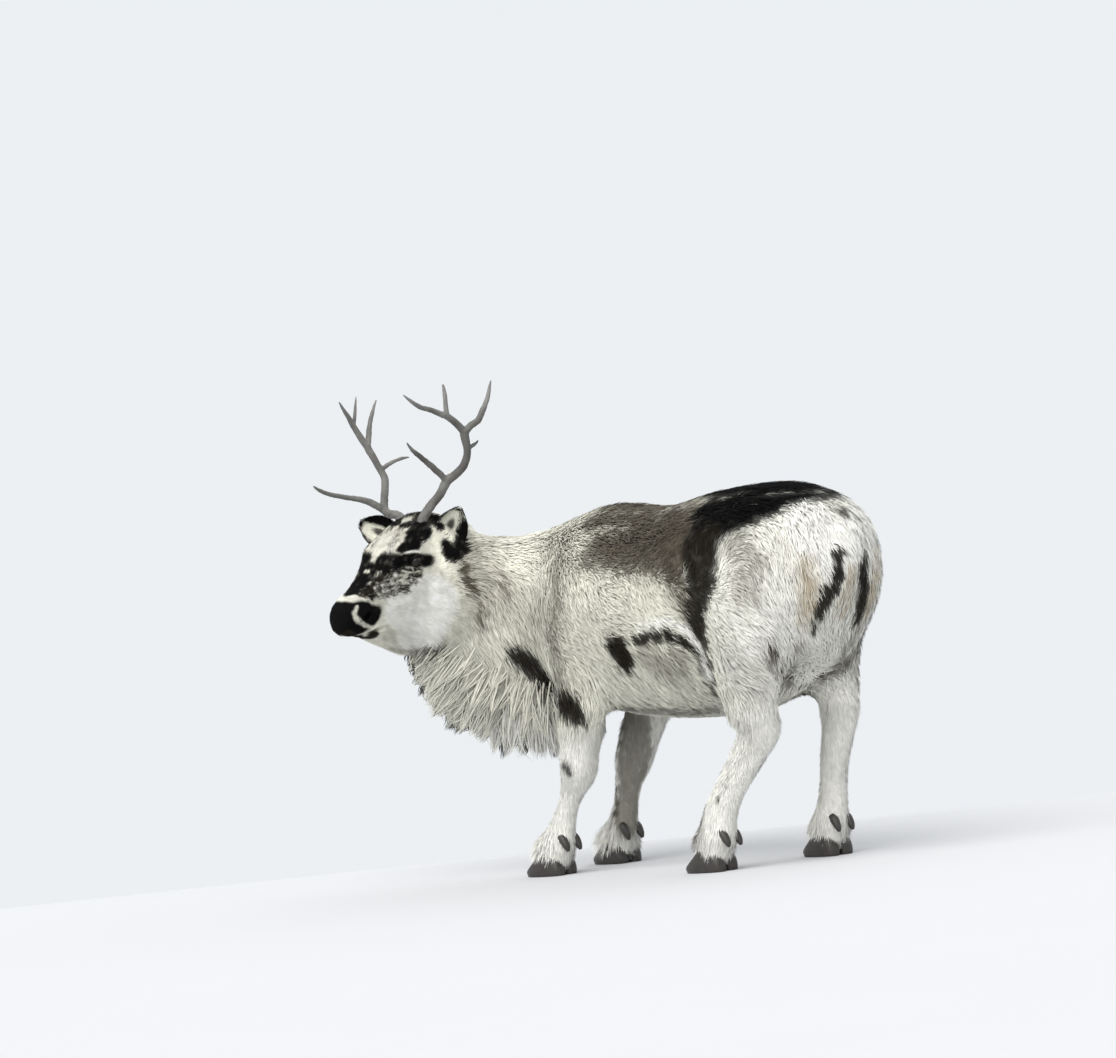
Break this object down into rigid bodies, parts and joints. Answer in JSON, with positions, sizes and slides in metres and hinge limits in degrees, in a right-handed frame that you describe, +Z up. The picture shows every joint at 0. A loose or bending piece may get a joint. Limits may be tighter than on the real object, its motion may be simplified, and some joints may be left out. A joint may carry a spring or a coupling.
{
  "type": "life-size still model of a svalbard reindeer",
  "caption": "Standing short-legged reindeer in thick pale winter coat with brown saddle, head turned to its left, slim branching antlers, throat mane and splayed hooves.",
  "frame": {"origin": "on the floor, under the middle of the whole model's box", "axes": "+X towards the rump along the body, -X towards the chest, -Y the animal's left side and the way its nose points, +Z up"},
  "size_m": [1.299, 0.6867, 1.0842],
  "materials": {
    "coat": "long soft winter fur, cream with dark brown saddle, face and flank marks",
    "mane": "long hanging throat hair, off-white to pale grey-brown",
    "leg_coat": "short pale fur with grey shading",
    "ear_coat": "short fur, dark rim, pale inside",
    "eye": "wet dark brown glass-like eye",
    "antler": "dull grey-brown bone, darker tines",
    "hoof": "dark horn with a soft sheen"
  },
  "bodies": {
    "root": {"torso": "coat", "neck": "mane", "head": "coat", "tail": "coat", "ear_left": "ear_coat", "ear_right": "ear_coat", "eye_left": "eye", "eye_right": "eye", "antler_left_beam": "antler", "antler_left_front_tine": "antler", "antler_left_rear_top": "antler", "antler_left_front_top": "antler", "antler_right_beam": "antler", "antler_right_brow_tine": "antler", "antler_right_back_tine": "antler", "antler_right_outer_top": "antler", "antler_right_rear_top": "antler", "fore_left_upper_leg": "leg_coat", "fore_left_lower_leg": "leg_coat", "fore_right_upper_leg": "leg_coat", "fore_right_lower_leg": "leg_coat", "hind_left_upper_leg": "leg_coat", "hind_left_lower_leg": "leg_coat", "hind_right_upper_leg": "leg_coat", "hind_right_lower_leg": "leg_coat", "fore_left_inner_claw": "hoof", "fore_left_outer_claw": "hoof", "fore_left_inner_dewclaw": "hoof", "fore_left_outer_dewclaw": "hoof", "fore_right_inner_claw": "hoof", "fore_right_outer_claw": "hoof", "fore_right_inner_dewclaw": "hoof", "fore_right_outer_dewclaw": "hoof", "hind_left_inner_claw": "hoof", "hind_left_outer_claw": "hoof", "hind_left_inner_dewclaw": "hoof", "hind_left_outer_dewclaw": "hoof", "hind_right_inner_claw": "hoof", "hind_right_outer_claw": "hoof", "hind_right_inner_dewclaw": "hoof", "hind_right_outer_dewclaw": "hoof"}
  },
  "joints": []
}
